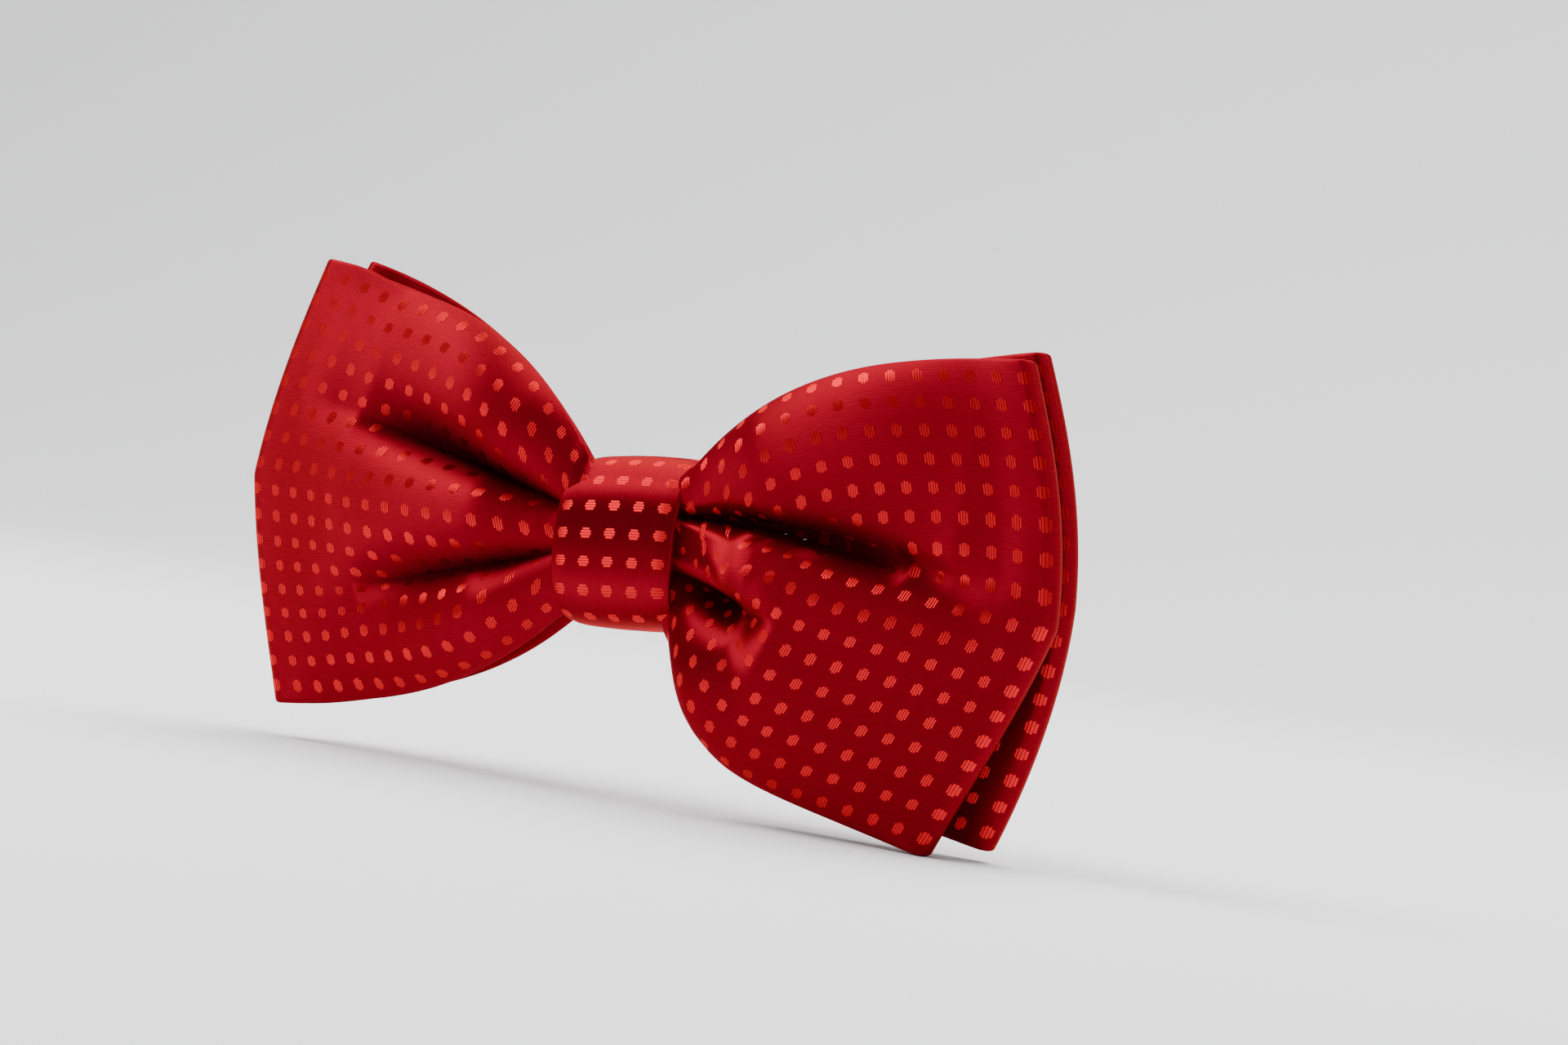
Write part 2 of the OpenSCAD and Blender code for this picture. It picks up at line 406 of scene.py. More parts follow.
class Board:
    """The node tree of one material."""

    def __init__(self, name: str) -> None:
        """Makes an empty material with an output node."""
        self.material = bpy.data.materials.new(name)
        self.material.use_nodes = True
        self.tree = self.material.node_tree
        self.tree.nodes.clear()
        self.output = self.tree.nodes.new("ShaderNodeOutputMaterial")

    def node(self, kind: str, settings: dict[str, object], sockets: dict[object, object]) -> bpy.types.Node:
        """Adds any node.

        Args:
            kind: Blender's name of the node type.
            settings: Values for the node's own settings, set before its sockets.
            sockets: Values or links for its input sockets, by name or number.

        Returns:
            The new node.
        """
        node = self.tree.nodes.new(kind)
        for key, value in settings.items():
            setattr(node, key, value)
        for key, value in sockets.items():
            if isinstance(value, Value):
                self.tree.links.new(value.socket, node.inputs[key])
            elif isinstance(value, Socket):
                self.tree.links.new(value, node.inputs[key])
            else:
                node.inputs[key].default_value = value
        return node

    def cloth(self) -> tuple[Value, Value]:
        """Cloth position in millimetres, along and across the piece, from its own UV map."""
        uv = self.node("ShaderNodeUVMap", {"uv_map": "cloth"}, {})
        split = self.node("ShaderNodeSeparateXYZ", {}, {0: uv.outputs[0]})
        return Value(self, split.outputs[0]) * 1000.0, Value(self, split.outputs[1]) * 1000.0

    def noise(self, scale: float, detail: float, stretch: Triple = (1, 1, 1)) -> Value:
        """Soft noise on Object coordinates.

        Args:
            scale: Features in a metre.
            detail: Finer octaves that are added.
            stretch: Scale along X, Y and Z.

        Returns:
            The noise, between 0 and 1.
        """
        place = self.node("ShaderNodeTexCoord", {}, {})
        moved = {"Vector": place.outputs["Object"], "Scale": stretch}
        mapping = self.node("ShaderNodeMapping", {}, moved)
        sockets = {"Vector": mapping.outputs[0], "Scale": scale, "Detail": detail}
        return Value(self, self.node("ShaderNodeTexNoise", {}, sockets).outputs[0])

    def weave(self, along: Value, across: Value, scale: Pair) -> Value:
        """Noise drawn out along the threads.

        Args:
            along: Cloth position along the threads in millimetres.
            across: Cloth position across the threads in millimetres.
            scale: Features in a millimetre, along and across.

        Returns:
            The noise, between 0 and 1.
        """
        place = self.node("ShaderNodeCombineXYZ", {}, {0: along * scale[0], 1: across * scale[1]})
        sockets = {"Vector": place.outputs[0], "Scale": 1.0, "Detail": 2.0}
        return Value(self, self.node("ShaderNodeTexNoise", {}, sockets).outputs[0])

    def mix(
        self,
        mask: Value,
        first: tuple[float, ...] | Socket,
        second: tuple[float, ...] | Socket,
    ) -> Socket:
        """A colour between two, by a mask.

        Args:
            mask: 0 for the first colour, 1 for the second.
            first: First colour, plain or a socket.
            second: Second colour, plain or a socket.

        Returns:
            The colour's socket.
        """
        one, two = ((*c, 1.0) if isinstance(c, tuple) else c for c in (first, second))
        return self.node("ShaderNodeMix", {"data_type": "RGBA"}, {0: mask, 6: one, 7: two}).outputs[2]

    def bump(self, height: Value, distance: float) -> Socket:
        """A normal raised by a height between 0 and 1.

        Args:
            height: The height's pattern.
            distance: What a height of 1 stands for, in metres.

        Returns:
            The normal's socket.
        """
        return self.node("ShaderNodeBump", {}, {"Height": height, "Distance": distance}).outputs[0]

    def principled(self, sockets: dict[object, object]) -> Socket:
        """Adds a Principled shader with these inputs and gives its output socket."""
        return self.node("ShaderNodeBsdfPrincipled", {}, sockets).outputs[0]

    def finish(self, surface: Socket) -> Material:
        """Links a shader to the output and gives the material."""
        self.tree.links.new(surface, self.output.inputs["Surface"])
        return self.material


@dataclass(frozen=True)
class DottedSatin:
    """Satin whose threads run along the cloth, with small dots of threads that run across it.

    Sizes are in millimetres of cloth.
    """

    name: str = "dotted_satin"
    ground: Triple = (0.3, 0.003, 0.015)
    ground_deep: Triple = (0.19, 0.002, 0.01)
    dot: Triple = (0.7, 0.01, 0.018)
    gloss: Triple = (1.0, 0.06, 0.12)
    # Painted shade: the colour that the deepest creases are painted towards.
    shadow: Triple = (0.02, 0.0003, 0.0012)
    pitch: float = 3.8
    dot_along: float = 0.76
    dot_across: float = 0.86
    float_width: float = 0.36
    rib: float = 0.3
    weave_depth: float = 0.00005
    dot_depth: float = 0.00012
    # Painted shade: how far the deepest creases are darkened towards the shadow colour.
    painted_shade: float = 0.9

    def build(self) -> Material:
        """Two brushed shaders at right angles, mixed by the woven dots, with shade painted into their colour
        in the creases.

        Returns:
            The material.
        """
        board = Board(self.name)
        along, across = board.cloth()
        cell_u = ((along / self.pitch).part() - 0.5) * self.pitch
        cell_v = ((across / self.pitch + 0.5).part() - 0.5) * self.pitch
        thread = cell_u / self.float_width
        centre = (thread.whole() + 0.5) * self.float_width
        reach = (1.0 - (centre / self.dot_along) * (centre / self.dot_along)).root() * self.dot_across
        cell = (along / self.pitch).whole() * 12.9 + (across / self.pitch + 0.5).whole() * 78.2
        uneven = (cell + centre * 37.0).wave()
        reach = reach * (uneven * 0.08 + 1.0)
        dot = abs(cell_v).below(reach)
        ribs = (across * (2.0 * np.pi / self.rib)).wave() * 0.5 + 0.5
        slub = board.weave(along, across, (0.5, 5.0))
        tone = slub * 0.75 + ribs * 0.25
        off = abs(thread.part() - 0.5)
        profile = 1.0 - off * off * 3.0
        tangent = board.node("ShaderNodeTangent", {"direction_type": "UV_MAP", "uv_map": "cloth"}, {})
        # Painted shade: the crease depth from the mesh darkens both colours towards the shadow colour.
        crease_shade = board.node("ShaderNodeAttribute", {"attribute_name": "crease_shade"}, {})
        painted_shade = Value(board, crease_shade.outputs["Fac"]) * self.painted_shade
        common = {
            "Metallic": 0.8,
            "Anisotropic": 0.95,
            "Tangent": tangent.outputs[0],
            "Specular IOR Level": 0.3,
            "Specular Tint": (*self.gloss, 1.0),
        }
        threads_along = {
            "Base Color": board.mix(painted_shade, board.mix(tone, self.ground_deep, self.ground), self.shadow),
            "Roughness": 0.5,
            "Anisotropic Rotation": 0.25,
            "Normal": board.bump(ribs * 0.5 + slub * 0.5, self.weave_depth),
        }
        threads_across = {
            "Base Color": board.mix(painted_shade, board.mix(profile, self.ground, self.dot), self.shadow),
            "Roughness": 0.48,
            "Normal": board.bump(profile, self.dot_depth),
        }
        ground = board.principled({**common, **threads_along})
        dotted = board.principled({**common, **threads_across})
        both = board.node("ShaderNodeMixShader", {}, {0: dot, 1: ground, 2: dotted})
        return board.finish(both.outputs[0])


@dataclass(frozen=True)
class Fibres:
    """Plain fibres whose tone and surface vary with soft noise."""

    name: str
    scale: float
    detail: float
    stretch: Triple
    dark: Triple
    light: Triple
    roughness: float
    depth: float

    def build(self) -> Material:
        """One shader with the noise in its colour and its bump."""
        board = Board(self.name)
        fibres = board.noise(self.scale, self.detail, self.stretch)
        sockets = {
            "Base Color": board.mix(fibres, self.dark, self.light),
            "Roughness": self.roughness,
            "Normal": board.bump(fibres, self.depth),
        }
        return board.finish(board.principled(sockets))


@dataclass(frozen=True)
class PlatedMetal:
    """Bright nickel plate with faint wear."""

    name: str = "nickel_plate"

    def build(self) -> Material:
        """Metal whose roughness and tone vary a little from handling."""
        board = Board(self.name)
        wear = board.noise(300.0, 5.0)
        fine = board.noise(2400.0, 2.0, (0.2, 1.0, 1.0))
        sockets = {
            "Base Color": board.mix(wear, (0.62, 0.6, 0.56), (0.8, 0.79, 0.76)),
            "Metallic": 1.0,
            "Roughness": wear * 0.16 + fine * 0.06 + 0.12,
            "Normal": board.bump(fine, 0.00001),
        }
        return board.finish(board.principled(sockets))


def interlining() -> Fibres:
    """Stiff off-white non-woven cloth."""
    plain = (1.0, 1.0, 1.0)
    return Fibres("interlining", 2500.0, 4.0, plain, (0.8, 0.79, 0.76), (0.93, 0.92, 0.89), 0.95, 0.0001)


def sewing_thread() -> Fibres:
    """Dark red polyester thread with a fine twist."""
    twist, dark, light = (1.0, 1.0, 3.0), (0.15, 0.002, 0.006), (0.3, 0.006, 0.015)
    return Fibres("sewing_thread", 6000.0, 1.0, twist, dark, light, 0.55, 0.00008)


def dress(obj: Object, material: Material) -> None:
    """Gives an object one material in all its slots.

    Args:
        obj: The object.
        material: The material.
    """
    if not obj.material_slots:
        obj.data.materials.append(material)
    for slot in obj.material_slots:
        slot.material = material


def stand_in(obj: Object, material: Material, body: str, nodes: tuple[str, ...]) -> None:
    """Dresses a piece, puts it on its body and lets it stand for CAD nodes.

    Args:
        obj: The piece.
        material: Its material.
        body: The body that it rides on.
        nodes: The nodes that it stands for.
    """
    dress(obj, material)
    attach(obj, body)
    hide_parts(*nodes)


# ---------------------------------------------------------------------------
# Bows
# ---------------------------------------------------------------------------


@dataclass(frozen=True)
class Pleat:
    """A raised or sunken fold that follows a slightly bent line over a wing.

    Positions are out from the knot's middle and up, heights are out of the panel's face.
    """

    start: Pair
    end: Pair
    height: Triple
    above: Pair
    below: Pair
    bend: float = 0.0
    power: float = 2.0
    close: float = 0.0
    fade: Pair = (0.25, 0.35)
    # How strongly this fold's depth paints shade into the satin's colour.
    dark: float = 1.0

    def place(self, x: Array, z: Array) -> tuple[Array, Array]:
        """Place along the line, from 0 to 1, and distance above it."""
        ax, az = self.start
        dx, dz = self.end[0] - ax, self.end[1] - az
        length = float(np.hypot(dx, dz))
        t = ((x - ax) * dx + (z - az) * dz) / length**2
        e = ((z - az) * dx - (x - ax) * dz) / length - self.bend * 4.0 * t * (1.0 - t)
        return t, e

    def relief(self, x: Array, z: Array) -> tuple[Array, Array]:
        """Height that the fold adds at each place and how far it draws the cloth in.

        With t the place along the line and e the distance above it, the height is a parabola
        through its three values in t, faded in and out at the ends, times
        exp(-(|e| / width) ^ power), where the width differs above and below the line. The cloth
        beside the line is drawn towards it by close e exp(-(|e| / 1.5 width) ^ 2).

        Args:
            x: Distance out from the knot's middle.
            z: Height above the knot's middle.

        Returns:
            The added height and the upward shift.
        """
        t, e = self.place(x, z)
        held = np.clip(t, 0.0, 1.0)
        h0, h1, h2 = self.height
        height = h0 * (1 - held) * (1 - 2 * held) + h1 * 4 * held * (1 - held) + h2 * held * (2 * held - 1)
        up = self.above[0] + (self.above[1] - self.above[0]) * held
        down = self.below[0] + (self.below[1] - self.below[0]) * held
        width = np.where(e > 0, up, down)
        fade_in = ease((t + self.fade[0]) / max(self.fade[0], 1e-6))
        fade_out = ease((1.0 + self.fade[1] - t) / max(self.fade[1], 1e-6))
        fade = fade_in * fade_out
        shift = -self.close * fade * e * np.exp(-((e / (1.5 * width)) ** 2))
        return height * fade * np.exp(-((np.abs(e) / width) ** self.power)), shift


@dataclass(frozen=True)
class Spread:
    """How far a wing's edge stands from its middle as the wing leaves the knot.

    The height is root + gain (1 - exp(-d / reach)) + slope d at d from the knot's side, and it
    eases to a common height inside the knot.
    """

    root: float
    gain: float
    reach: float
    slope: float = 0.0
    pinch: float = 9.0

    def at(self, d: Array) -> Array:
        """Height of the edge at distances along X from the knot's side."""
        out = np.maximum(d, 0.0)
        start = self.pinch + (self.root - self.pinch) * ease(1.0 + d / 2.5)
        return start + self.gain * (1.0 - np.exp(-out / self.reach)) + self.slope * out


@dataclass(frozen=True)
class Tuck:
    """A line over a wing where the rows of the weave vanish into a crease."""

    start: Pair
    end: Pair
    soft: Pair = (0.6, 9.0)


@dataclass(frozen=True)
class Wing:
    """One wing of one bow."""

    side: Side
    top: Spread
    bottom: Spread
    middle: float
    puff: float
    pleats: tuple[Pleat, ...]
    back_pleats: tuple[Pleat, ...]
    tucks: tuple[Tuck, ...]
    length: float = 53.5
    cut: Pair = (0.0, 0.0)
    back_puff: float = 1.4
    bend: float = 0.0


@dataclass(frozen=True)
class Bow:
    """A flattened loop of satin, pinched in the knot: two panels joined by two rounded ends."""

    name: str
    node: str
    lining_node: str
    left: Wing
    right: Wing
    knot_half: float = 9.5
    fold_radius: float = 1.35
    pinch_depth: float = 2.6
    edge_depth: float = 0.72
    back_inset: float = 0.9
    cloth: float = 1.1
    lining_cloth: float = 0.4
    lining_short: float = 3.6  # chosen: how far the flat stiffener stops short of the satin's edges
    flat_height: float = 65.0
    rows: int = 120
    steps: int = 84
    back_steps: int = 40
    turns: int = 14

    def half_depth(self, wing: Wing, front: bool, share: Array, d: Array, v: Array) -> Array:
        """Distance of an unpleated panel from the bow's middle plane.

        It goes from the pinch's depth to the end's radius plus a puff that dies towards the end
        as a power of a cosine, and it closes on the other panel at the top and bottom edges.

        Args:
            wing: The wing.
            front: Whether it is the front panel.
            share: Place along the row, from 0 at the knot's side to 1 at the end.
            d: The same place in millimetres.
            v: Place across the row.

        Returns:
            The distance.
        """
        rise = ease(d / 14.0)
        fall = np.cos(np.clip((share - 0.25) / 0.75, 0.0, 1.0) * np.pi / 2.0) ** 1.3
        crown = (1.0 - np.abs(v) ** 5) ** 0.7
        puff = wing.puff if front else wing.back_puff
        edge = self.edge_depth + (self.fold_radius - self.edge_depth) * ease((share - 0.85) / 0.15)
        body = self.pinch_depth * (1.0 - rise) + (self.fold_radius + puff * fall) * rise
        return edge + (body - edge) * crown

    def panel(self, wing: Wing, front: bool, count: int, v: Array) -> Array:
        """Middle surface of one panel of one wing.

        The two edges give the height z(x, v) of every row. A row keeps its length, so its x is
        read back from the integral of the root of 1 + (dz/dx)^2. Its depth is the middle plane
        plus a parabolic bend, plus or minus the half depth with the pleats, and a soft limit
        keeps the front panel off the back one.

        Args:
            wing: The wing.
            front: Whether it is the front panel.
            count: Points in a row.
            v: Places across, from -1 at the bottom edge to 1 at the top.

        Returns:
            Points for each distance and place, with how deep each lies in a crease, which sets the shade
            painted into the satin's colour.
        """
        fine = np.linspace(-self.knot_half, wing.length + 1.0, 500)
        inset = 0.0 if front else self.back_inset
        sinking = inset * (1.0 - ease((fine / wing.length - 0.6) / 0.4))
        high = wing.top.at(fine) - sinking
        low = wing.bottom.at(fine) - sinking
        height = -low[:, None] + (high + low)[:, None] * (v[None, :] + 1.0) / 2.0
        slope = np.gradient(height, fine, axis=0)
        pace = np.sqrt(1.0 + slope**2) * (fine > 0.0)[:, None] + (fine <= 0.0)[:, None]
        travel = np.cumsum((pace[1:] + pace[:-1]) / 2.0 * np.diff(fine)[:, None], axis=0)
        travel = np.concatenate([np.zeros((1, len(v))), travel]) - self.knot_half
        bias = 1.0 - (1.0 - np.abs(v)) ** 1.5
        reach = wing.length - np.where(v > 0.0, wing.cut[0], wing.cut[1]) * bias
        grow = np.linspace(0.0, 1.0, count)[:, None]
        d = -self.knot_half + (reach + self.knot_half)[None, :] * grow
        x = np.stack([np.interp(d[:, i], travel[:, i], fine) for i in range(len(v))], axis=1)
        z = np.stack([np.interp(x[:, i], fine, height[:, i]) for i in range(len(v))], axis=1)
        x = x + self.knot_half
        share = np.clip(d / reach[None, :], 0.0, 1.0)
        depth = self.half_depth(wing, front, share, d, v[None, :])
        settle = ease((1.0 - share) / 0.12)
        lift = np.zeros_like(z)
        shade_mask = np.zeros_like(z)
        for pleat in wing.pleats if front else wing.back_pleats:
            height, shift = pleat.relief(x, z)
            depth = depth + height * settle
            lift = lift + shift * settle
            # Painted shade: the deeper a sunken fold, the darker the satin's colour is painted there, scaled
            # by the pleat's dark.
            shade_mask = np.maximum(shade_mask, ease(-height / 7.5 * pleat.dark))
        if front:
            wall = self.cloth + 0.15 - self.half_depth(wing, False, share, d, v[None, :])
            depth = wall + 0.5 * np.logaddexp(0.0, (depth - wall) / 0.5)
        y = wing.middle + wing.bend * share**2 + np.where(front, -depth, depth)
        return np.stack([x * wing.side.value, y, z + lift, shade_mask], -1)

    def half_loop(self, wing: Wing) -> tuple[Array, Array]:
        """Middle surface of a wing from the knot's front, round its end, to the knot's back.

        The end is a half circle of the fold radius about the middle plane, pushed out along the
        direction in which each row arrives.

        Args:
            wing: The wing.

        Returns:
            The points and the distance of each point from the end, along its row.
        """
        v = np.linspace(-1.0, 1.0, self.rows)
        front = self.panel(wing, True, self.steps, v)
        back = self.panel(wing, False, self.back_steps, v)[::-1]
        arrive = unit((front[-1] - front[-2]) * np.array([1.0, 0.0, 1.0, 0.0]))
        angle = np.linspace(0.0, np.pi, self.turns + 2)[1:-1]
        hub = (front[-1] + back[0]) / 2.0
        arm = (front[-1] - back[0]) / 2.0
        turn = (
            hub[None]
            + arm[None] * np.cos(angle)[:, None, None]
            + arrive[None] * self.fold_radius * np.sin(angle)[:, None, None]
        )
        points = np.concatenate([front, turn, back])
        steps = np.linalg.norm(np.diff(points[..., :3], axis=0), axis=-1)
        length = np.concatenate([np.zeros((1, self.rows)), np.cumsum(steps, axis=0)])
        apex = self.steps + self.turns // 2
        return points, length - length[apex]

    def across(self, wing: Wing, points: Array) -> Array:
        """Cloth position across the wing, measured from its edges and lost in its creases.

        Above the top tuck it is counted down from the top edge, below the bottom tuck up from
        the bottom edge and between two tucks from the middle, so that rows of the weave stay
        beside the edge and vanish into the crease.

        Args:
            wing: The wing.
            points: Middle surface.

        Returns:
            The position across at each point.
        """
        step = np.linalg.norm(np.diff(points[..., :3], axis=1), axis=-1)
        arc = np.concatenate([np.zeros((len(points), 1)), np.cumsum(step, axis=1)], axis=1)
        low = arc - self.flat_height / 2.0
        high = self.flat_height / 2.0 - (arc[:, -1:] - arc)
        middle = np.abs(points[..., 2]).argmin(axis=1)
        centre = arc - arc[np.arange(len(arc)), middle][:, None]
        zones = [low, high] if len(wing.tucks) == 1 else [low, centre, high]
        x = np.abs(points[..., 0])
        value = zones[0]
        for tuck, zone in zip(wing.tucks, zones[1:]):
            (ax, az), (bx, bz) = tuck.start, tuck.end
            t = (x - ax) / (bx - ax)
            line = az + (bz - az) * t
            soft = tuck.soft[0] + (tuck.soft[1] - tuck.soft[0]) * np.clip(t, 0.0, 1.2) ** 2.5
            value = value + (zone - value) * ease((points[..., 2] - line) / (2.0 * soft) + 0.5)
        return value

    def sheet(self) -> tuple[Array, Array]:
        """Middle surface of the whole loop, its cloth positions and its creases.

        Returns:
            The points, closed along their first axis, and for each one its cloth position and
            how deep it lies in a crease, which sets the shade painted into the satin's colour.
        """
        points, along, across = [], [], []
        for wing in (self.right, self.left):
            half, length = self.half_loop(wing)
            side = self.across(wing, half)
            if wing.side is Side.LEFT:
                half, length, side = half[::-1], length[::-1], side[::-1]
            points.append(half[:-1])
            along.append(length[:-1])
            across.append(side[:-1])
        whole = np.concatenate(points)
        uv = np.stack([np.concatenate(along), np.concatenate(across), whole[..., 3]], -1)
        return whole[..., :3], uv

    def build(self, satin: Material, lining: Material) -> list[Object]:
        """Makes the satin loop and the stiffener inside it.

        Args:
            satin: Material of the loop.
            lining: Material of the stiffener.

        Returns:
            The two pieces.
        """
        mid, uv = self.sheet()
        pieces = []
        inner = f"{self.name}_stiffener"
        for name, node, skip, edge, short, thickness, material, slot in (
            (f"{self.name}_satin", self.node, 1, 0, 0.0, self.cloth, satin, "satin"),
            (inner, self.lining_node, 2, 3, self.lining_short, self.lining_cloth, lining, "interlining"),
        ):
            rows = slice(edge, self.rows - edge, skip)
            some, some_uv = mid[::skip, rows], uv[::skip, rows]
            points, cloth = thicken_loop(some, some_uv, thickness)
            cloth = cloth.reshape(-1, 3)
            n, m = points.shape[:2]
            quads = grid_faces(n, m, True, True)
            # The third cloth column is the crease depth that paints shade into the satin's colour.
            piece = add_mesh(name, points.reshape(-1, 3), quads, cloth[:, :2], cloth[:, 2])
            stand_in(piece, material, "bow", (node,))
            wings = self.left.length + self.right.length
            length = 2.0 * (wings + 2.0 * self.knot_half + np.pi * self.fold_radius)
            flat = (length * MM, (self.flat_height - 2.0 * short) * MM)
            pieces.append(piece)
            log.info("%s: %d faces", name, n * m)
        return pieces


# ---------------------------------------------------------------------------
# Knot
# ---------------------------------------------------------------------------


@dataclass(frozen=True)
class Knot:
    """The band of satin round the pinch, its lining, the turns of thread inside and its seam."""

    width: float = 19.0
    height: float = 23.6
    depth: float = 18.0
    hub: Pair = (-7.0, -2.3)
    turn: float = 5.0
    front_top: float = 2.3
    front_bottom: float = 3.4
    back: float = 7.0
    cloth: float = 0.9
    stitches: int = 6
    turns: int = 6

    def section(self, count: int, inset: float = 0.0) -> Array:
        """Closed outline of the knot in depth and height.

        Each quarter about the hub is part of a superellipse, |y / a| ^ n + |z / b| ^ n = 1. The
        power n is low at the top of the front, where the cloth rolls over the pinch, and high
        at the back, which is flat.

        Args:
            count: Number of points.
            inset: How far the outline is drawn in.

        Returns:
            Depth and height of each point, with the back at depth 0.
        """
        angle = np.linspace(0.0, 2.0 * np.pi, count, endpoint=False)
        c, s = np.cos(angle), np.sin(angle)
        front = c < 0.0
        power = np.where(front, np.where(s > 0.0, self.front_top, self.front_bottom), self.back)
        a = np.where(front, self.depth + self.hub[0], -self.hub[0]) - inset
        b = self.height / 2.0 + np.where(s > 0.0, -self.hub[1], self.hub[1]) - inset
        r = (np.abs(c) ** power + np.abs(s) ** power) ** (-1.0 / power)
        line = np.stack([self.hub[0] + r * c * a, self.hub[1] + r * s * b], -1)
        ring = np.concatenate([line, line[:1]])
        length = np.concatenate([[0.0], np.cumsum(np.linalg.norm(np.diff(ring, axis=0), axis=1))])
        even = np.linspace(0.0, length[-1], count, endpoint=False)
        return np.stack([np.interp(even, length, ring[:, i]) for i in range(2)], -1)

    def band(
        self,
        name: str,
        node: str,
        inset: float,
        width: float,
        cloth: float,
        material: Material,
    ) -> Object:
        """One closed band of cloth round the pinch.

        The band's middle line is the section, drawn in. Across its width the face swells by a
        parabola, the folded side edges roll back a little, and the band is slightly narrower
        over the top and bottom.

        Args:
            name: Name of the piece.
            node: The node that it stands for.
            inset: Depth of the band's middle line under the outline.
            width: Width of the band.
            cloth: Its thickness.
            material: Its material.

        Returns:
            The piece.
        """
        line = self.section(220, inset)
        across = np.linspace(-0.5, 0.5, 33)
        tangent = unit(np.roll(line, -1, axis=0) - np.roll(line, 1, axis=0))
        away = np.stack([tangent[:, 1], -tangent[:, 0]], -1)
        away = away * np.sign(np.sum(away * (line - line.mean(axis=0)), -1, keepdims=True))
        behind = ease((line[:, 0] + 3.0) / 2.0)
        waist = 1.0 - 0.05 * ease((np.abs(line[:, 1]) - 3.0) / 8.0)
        x = across[None, :] * (width - cloth) * waist[:, None]
        swell = 0.45 * (1.0 - (2.0 * across) ** 2)[None, :] * (1.0 - behind)[:, None]
        swell = swell - (0.3 * ease((np.abs(across) - 0.42) / 0.08))[None, :]
        y = line[:, 0, None] + away[:, 0, None] * swell
        z = line[:, 1, None] + away[:, 1, None] * swell
        tilt = np.radians(self.turn)
        mid = np.stack([x * np.cos(tilt) - z * np.sin(tilt), y, x * np.sin(tilt) + z * np.cos(tilt)], -1)
        step = np.linalg.norm(np.roll(line, -1, axis=0) - line, axis=1)
        length = np.concatenate([[0.0], np.cumsum(step)[:-1]])
        uv = np.stack(np.broadcast_arrays(length[:, None] + 0.6, x), -1)
        points, cloth_uv = thicken_loop(mid, uv, cloth)
        n, m = points.shape[:2]
        piece = add_mesh(name, points.reshape(-1, 3), grid_faces(n, m, True, True), cloth_uv.reshape(-1, 2))
        stand_in(piece, material, "bow", (node,))
        width * MM
        return piece

    def build(self, satin: Material, lining: Material, thread: Material) -> list[Object]:
        """Makes the wrap, its lining, the turns of thread and the stitches that close it.

        Args:
            satin: Material of the wrap.
            lining: Material of the lining.
            thread: Material of the threads.

        Returns:
            The pieces.
        """
        half = self.cloth / 2.0
        pieces = [
            self.band("knot_wrap_satin", "knot_wrap", half, self.width, self.cloth, satin),
            self.band("knot_stiffener", "knot_lining", 1.15, self.width - 1.6, 0.4, lining),
        ]
        line = self.section(160, 1.7)
        paths = np.zeros((self.turns, 161, 3))
        paths[..., 1:] = np.concatenate([line, line[:1]])
        paths[..., 0] = (np.arange(self.turns) - (self.turns - 1) / 2.0)[:, None] * 0.55
        turns = threads("pinch_thread", paths, 0.2)
        place = np.arange(self.stitches) - (self.stitches - 1) / 2.0
        place = place * (self.width - 3.0) / (self.stitches - 1)
        t = np.linspace(0.0, 1.0, 12)
        paths = np.zeros((self.stitches, len(t), 3))
        paths[..., 0] = place[:, None] + (t[None, :] - 0.5) * 1.1
        paths[..., 1] = 0.02 + 0.16 * np.sin(np.pi * t)[None, :]
        paths[..., 2] = -self.height / 4.0 + (t[None, :] - 0.5) * 2.6
        seam = threads("knot_back_stitches", paths, 0.18)
        for piece, node in ((turns, "pleat_thread"), (seam, "knot_stitches")):
            stand_in(piece, thread, "bow", (node,))
            pieces.append(piece)
        log.info("knot: %d pieces", len(pieces))
        return pieces


# ---------------------------------------------------------------------------
# Neckband
# ---------------------------------------------------------------------------


def curve_turn(x: float, y0: float, y1: float, outward: float, steps: int = 14) -> Array:
    """Half an ellipse in X and Y, from one ply to the next.

    Args:
        x: Place along X where both plies end.
        y0: Depth of the first ply.
        y1: Depth of the second ply.
        outward: How far the turn reaches along X, with its sign.
        steps: Number of points.

    Returns:
        The points.
    """
    angle = np.linspace(0.0, np.pi, steps)
    centre, half = (y0 + y1) / 2.0, (y1 - y0) / 2.0
    return np.stack([x + outward * np.sin(angle), centre - half * np.cos(angle)], -1)


def straight(x0: float, x1: float, y: float, steps: int = 20) -> Array:
    """A straight ply in X and Y."""
    x = np.linspace(x0, x1, steps)
    return np.stack([x, np.full(steps, y)], -1)


